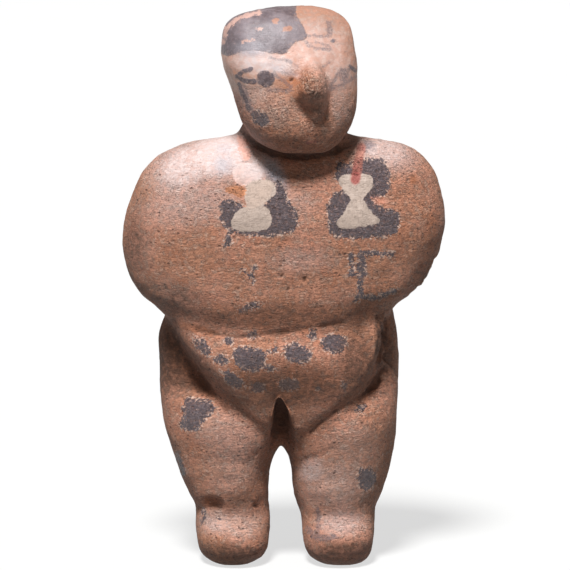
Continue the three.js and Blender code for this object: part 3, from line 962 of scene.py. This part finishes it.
    # On the head this is laid over the dark paint as well, as the cap's painted highlight.
    colour = laid(times(times(haze_and_highlight, on_head), 0.6), colour, paint.blue)
    cream_tone = laid(ramp(grain, 0.4, 0.62, 0.0, 0.5), paint.cream, paint.cream_dark)
    colour = laid(times(cream, 0.92), colour, cream_tone)
    pale = patch("pale_gap", 1.8, 1.0)
    colour = laid(times(pale, 0.8), colour, clay.pink)
    colour = laid(times(pale, 0.35), colour, paint.white)
    pink = edged(tree, kept(tree, "pink_chip"), centred(tree, cloudy, 2.0), crumbled)
    colour = laid(times(pink, 0.6), colour, paint.pink)
    chip = edged(tree, kept(tree, "orange_chip"), centred(tree, cloudy, 1.6), crumbled)
    chip = times(chip, ramp(on_head, 0.0, 1.0, 0.85, 0.5))
    colour = laid(chip, colour, clay.fresh)
    rust = patch("rust", 0.6, 0.5, 0.7)
    colour = laid(times(rust, 0.6), colour, paint.pink)
    rust = times(rust, ramp(cloudy, 0.35, 0.6, 0.35, 0.65))
    gathered = edged(tree, kept(tree, "rust_end"), centred(tree, cloudy, 0.5), 0.0, 0.7)
    rust = most(rust, times(gathered, 0.9))
    colour = laid(rust, colour, paint.rust)

    # Soil and painted shade in hollows and stained places, and dark pores.
    # Hollows are darkened as painted shade and dirt.
    deep = ramp(kept(tree, "hollow"), 0.15, 1.1)
    soil_and_shade = times(kept(tree, "soil_and_shade"), ramp(cloudy, 0.3, 0.62, 0.6, 1.0))
    soil_and_shade = most(soil_and_shade, times(deep, 0.75))
    soil_and_shade = most(soil_and_shade, times(crust, ramp(gritty, 0.4, 0.5, 0.85, 0.1)))
    colour = laid(soil_and_shade, colour, clay.soil_and_shade)
    crust = times(crust, rest(times(slate, 0.8)))
    specks = times(crust, ramp(gritty, 0.53, 0.6))
    colour = laid(specks, colour, clay.pale)
    pits = most(pores, times(pricks, 0.5))
    cover = most(ramp(wash_and_highlight, 0.35, 0.85), cream)
    uncovered = rest(times(cover, 0.75))
    pits = times(times(pits, bare), uncovered)
    dark = most(times(pits, 0.7), times(line, 0.6))
    dark = times(dark, uncovered)
    colour = laid(dark, colour, clay.pit)
    tree.links.new(colour, shader.inputs["Base Color"])

    glossy = most(times(slate, 0.8), times(wash_and_highlight, 0.35))
    glossy = most(glossy, times(on_head, 0.9))
    glossy = times(glossy, rest(crust))
    tree.links.new(ramp(glossy, 0.0, 1.0, clay.roughness, clay.burnished_roughness),
                   shader.inputs["Roughness"])

    relief = total(centred(tree, grain, 0.8), centred(tree, wiped, 0.9), centred(tree, fine, 0.4),
                   times(line, -0.8))
    relief = times(times(relief, bare), uncovered)
    relief = total(relief, times(pits, -1.0), times(slate, 0.3), times(crust, centred(tree, gritty, 1.6)))
    bump = add(tree, "Bump", {"Height": relief, "Strength": 1.0, "Distance": clay.grain_depth})
    tree.links.new(bump.outputs[0], shader.inputs["Normal"])
    return material


def floor_material(stage):
    """Plain pale matt paper with the faintest mottling."""
    material = bpy.data.materials.new("pale_floor")
    material.use_nodes = True
    tree = material.node_tree
    shader = tree.nodes["Principled BSDF"]
    metres = add(tree, "TexCoord").outputs["Object"]
    cloudy = noise(tree, metres, 3.0, 3.0)
    colour = mixed(tree, between(tree, cloudy, 0.3, 0.7), stage.floor, stage.floor_shade)
    tree.links.new(colour, shader.inputs["Base Color"])
    shader.inputs["Roughness"].default_value = 0.9
    shader.inputs["Emission Color"].default_value = (1, 1, 1, 1)
    shader.inputs["Emission Strength"].default_value = stage.floor_glow
    return material


# What a user would change

def colour_property(name, description, red, green, blue):
    """A colour given as it shows on a screen, from 0 to 255."""
    linear = [((value / 255 + 0.055) / 1.055) ** 2.4 for value in (red, green, blue)]
    return bpy.props.FloatVectorProperty(
        name=name, description=description, subtype="COLOR", size=4, min=0, max=1,
        default=(*linear, 1.0),
    )


def number_property(name, description, default, **rest):
    """A number that is never negative. What else holds for it is in rest."""
    return bpy.props.FloatProperty(name=name, description=description, default=default, min=0, **rest)


def length_property(name, description, default):
    return number_property(name, description, default, unit="LENGTH", precision=5)


def angle_property(name, description, degrees):
    return bpy.props.FloatProperty(
        name=name, description=description, default=math.radians(degrees), subtype="ANGLE")


def count_property(name, description, default):
    return bpy.props.IntProperty(name=name, description=description, default=default, min=0)


class FigureShape(bpy.types.PropertyGroup):
    point_spacing: length_property(
        "Point Spacing", "Distance between the skin's points after remeshing", 0.0012)
    softening: count_property("Softening", "Rounds of smoothing over every join", 17)
    join_softening: count_property("Join Softening", "Rounds of smoothing over the belly's joins", 90)
    lump_size: length_property("Lump Size", "Size of the unevenness that hands leave", 0.022)
    lump_height: length_property("Lump Height", "Height of the unevenness that hands leave", 0.00075)
    crust_height: length_property("Crust Height", "Height of the crust on the nose", 0.0006)
    break_depth: length_property("Break Depth", "Depth of the scar and the broken elbow", 0.0024)
    pit_count: count_property("Pits", "How many small pits the skin has", 420)
    seed: count_property("Seed", "Picks where pits and rough edges fall", 7)


class ClayColours(bpy.types.PropertyGroup):
    tan: colour_property("Tan", "Main tone of the clay", 194, 136, 106)
    pink: colour_property("Pink", "Rosy tone of the clay", 209, 149, 124)
    orange: colour_property("Orange", "Warm tone of the clay", 190, 116, 80)
    pale: colour_property("Pale", "Light film on the clay", 218, 181, 160)
    brown: colour_property("Brown", "Dark grains and wiped streaks", 122, 80, 60)
    # Also paints the shade under the nose and along the left arm.
    grey_and_shade: colour_property("Grey", "Smoky stains", 128, 106, 94)
    stain: colour_property("Stain", "Orange-brown stains in sheltered places", 178, 108, 68)
    fresh: colour_property("Fresh", "Clay that a chip has bared", 206, 136, 94)
    # Dirt, and the painted shade of hollows and of places turned from the light.
    soil_and_shade: colour_property("Soil", "Dark soil in hollows", 86, 54, 36)
    pit: colour_property("Pit", "Bottom of pores", 70, 46, 36)
    roughness: number_property("Roughness", "Of the bare clay", 0.82, max=1)
    burnished_roughness: number_property("Burnished Roughness", "Of rubbed slip and paint", 0.42, max=1)
    grain_depth: length_property("Grain Depth", "Height of the fine grain", 0.00035)


class PaintColours(bpy.types.PropertyGroup):
    slate: colour_property("Slate", "Dark purplish paint", 86, 73, 77)
    slate_light: colour_property("Light Slate", "Thin or dusty dark paint", 120, 107, 111)
    slate_dark: colour_property("Deep Slate", "Thick dark paint", 62, 50, 54)
    slate_dusty: colour_property("Dusty Slate", "Rubbed dark paint on the head", 152, 140, 145)
    cream: colour_property("Cream", "Light paint", 192, 173, 160)
    cream_dark: colour_property("Dull Cream", "Dusty light paint", 172, 151, 138)
    ground: colour_property("Ground", "Pale ground where dark paint has flaked", 224, 194, 178)
    rust: colour_property("Rust", "Red-brown run of paint", 156, 76, 70)
    pink: colour_property("Pink", "Rosy paint", 222, 152, 128)
    # Also paints the highlight on the forehead.
    white: colour_property("White", "Pale wash over the clay", 213, 198, 196)
    # Also paints the highlight on the cap.
    blue: colour_property("Blue", "Grey-blue haze of thinned paint", 172, 168, 176)


class StageSettings(bpy.types.PropertyGroup):
    floor: colour_property("Floor", "Pale floor", 126, 126, 125)
    floor_shade: colour_property("Floor Shade", "Second tone of the floor", 125, 125, 124)
    floor_size: length_property("Floor Size", "Side of the floor", 60.0)
    key_strength: number_property("Key Light", "Strength of the light from above", 5.25)
    key_rise: angle_property("Key Rise", "How steeply the light from above falls", 61)
    key_side: angle_property("Key Side", "How far the light from above stands to the viewer's left", 14)
    key_spread: angle_property("Key Spread", "How wide the light from above is, seen from the figure", 13)
    fill_power: number_property("Fill Light", "Power of the light from the front", 2.0, unit="POWER")
    fill_colour: colour_property("Fill Colour", "Colour of the light from the front", 255, 226, 198)
    fill_size: length_property("Fill Size", "Side of the light from the front", 0.9)
    sky_strength: number_property("Sky", "Strength of the light from all round", 0.14)
    floor_glow: number_property("Floor Glow", "Light of its own that softens the floor's shadows", 0.66)


# The piece and the stage

class CLAYFIGURE_OT_figure(bpy.types.Operator):
    """Models the figure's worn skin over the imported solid, and paints it"""

    bl_idname = "clayfigure.figure"
    bl_label = "Figure"

    def execute(self, context):
        settings = context.scene
        shape = settings.figure_shape
        piece = copied_solid(SOLID, PIECE)
        softened_form(piece, shape)
        skin = Skin(piece)
        pull_forms(skin)
        narrow_slot(skin)
        skin.write()
        smoothed_joins(piece, shape)

        skin = Skin(piece)
        fine = skin.place[:, 2] > FINE_FROM
        for oval in MOTIFS:
            fine |= depth_in_spot(skin.drawn, *oval) > 0
        refined(piece, skin.front & fine)

        skin = Skin(piece)
        press_creases_and_dents(skin)
        press_breaks(skin, shape.break_depth, shape.seed)
        press_pits(skin, shape.pit_count, shape.seed)
        skin.write()
        modified(piece, "SMOOTH", factor=0.3, iterations=1)
        roughened(piece, shape)
        painted(piece)

        only(piece)
        bpy.ops.object.shade_smooth()
        piece.data.materials.clear()
        piece.data.materials.append(clay_material(settings.clay_colours, settings.paint_colours))
        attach(piece, "root")
        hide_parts(SOLID)
        return {"FINISHED"}


class CLAYFIGURE_OT_stage(bpy.types.Operator):
    """Lays the floor and sets the lights and the camera"""

    bl_idname = "clayfigure.stage"
    bl_label = "Stage"

    def execute(self, context):
        stage = context.scene.stage_settings
        bpy.ops.object.select_all(action="DESELECT")
        bpy.ops.mesh.primitive_plane_add(size=stage.floor_size, location=(0, 0, 0))
        floor = context.object
        floor.name = "floor"
        floor.data.materials.append(floor_material(stage))
        floor.visible_diffuse = False  # the pale floor throws no light up into the folds

        aim = VIEW_AIM
        bpy.ops.object.light_add(type="SUN", location=KEY_PLACE)
        key = context.object
        key.name = "key"
        key.rotation_euler = (math.pi / 2 - stage.key_rise, 0, -stage.key_side)
        key.data.energy = stage.key_strength
        key.data.angle = stage.key_spread
        bpy.ops.object.light_add(type="AREA", location=FILL_PLACE)
        fill = context.object
        fill.name = "fill"
        fill.rotation_euler = (aim - Vector(FILL_PLACE)).to_track_quat("-Z", "Y").to_euler()
        fill.data.energy = stage.fill_power
        fill.data.size = stage.fill_size
        fill.data.color = stage.fill_colour[:3]
        world = bpy.data.worlds.new("pale_room")
        world.use_nodes = True
        world.node_tree.nodes["Background"].inputs["Color"].default_value = (1, 1, 1, 1)
        world.node_tree.nodes["Background"].inputs["Strength"].default_value = stage.sky_strength
        context.scene.world = world

        place = aim + Vector(toward_viewer()) * VIEW_DISTANCE
        bpy.ops.object.camera_add(location=place)
        camera = context.object
        camera.name = "front_camera"
        camera.rotation_euler = (aim - place).to_track_quat("-Z", "Y").to_euler()
        camera.data.lens = camera.data.sensor_width * VIEW_DISTANCE / VIEW_WIDTH
        context.scene.camera = camera
        context.scene.view_settings.view_transform = "Standard"
        return {"FINISHED"}


class CLAYFIGURE_PT_panel(bpy.types.Panel):
    """Lists the steps that make the figure"""

    bl_label = "Clay Figure"
    bl_idname = "CLAYFIGURE_PT_panel"
    bl_space_type = "VIEW_3D"
    bl_region_type = "UI"
    bl_category = "Clay Figure"

    def draw(self, context):
        for group in ("figure_shape", "clay_colours", "paint_colours"):
            for name in getattr(context.scene, group).__annotations__:
                self.layout.prop(getattr(context.scene, group), name)
        self.layout.operator(CLAYFIGURE_OT_figure.bl_idname)
        for name in StageSettings.__annotations__:
            self.layout.prop(context.scene.stage_settings, name)
        self.layout.operator(CLAYFIGURE_OT_stage.bl_idname)


GROUPS = {
    "figure_shape": FigureShape,
    "clay_colours": ClayColours,
    "paint_colours": PaintColours,
    "stage_settings": StageSettings,
}
CLASSES = (*GROUPS.values(), CLAYFIGURE_OT_figure, CLAYFIGURE_OT_stage, CLAYFIGURE_PT_panel)


def register():
    for cls in CLASSES:
        bpy.utils.register_class(cls)
    for name, group in GROUPS.items():
        setattr(bpy.types.Scene, name, bpy.props.PointerProperty(type=group))


def unregister():
    for name in GROUPS:
        delattr(bpy.types.Scene, name)
    for cls in reversed(CLASSES):
        bpy.utils.unregister_class(cls)


def main():
    register()
    bpy.ops.clayfigure.figure()
    bpy.ops.clayfigure.stage()


if __name__ == "__main__":
    main()
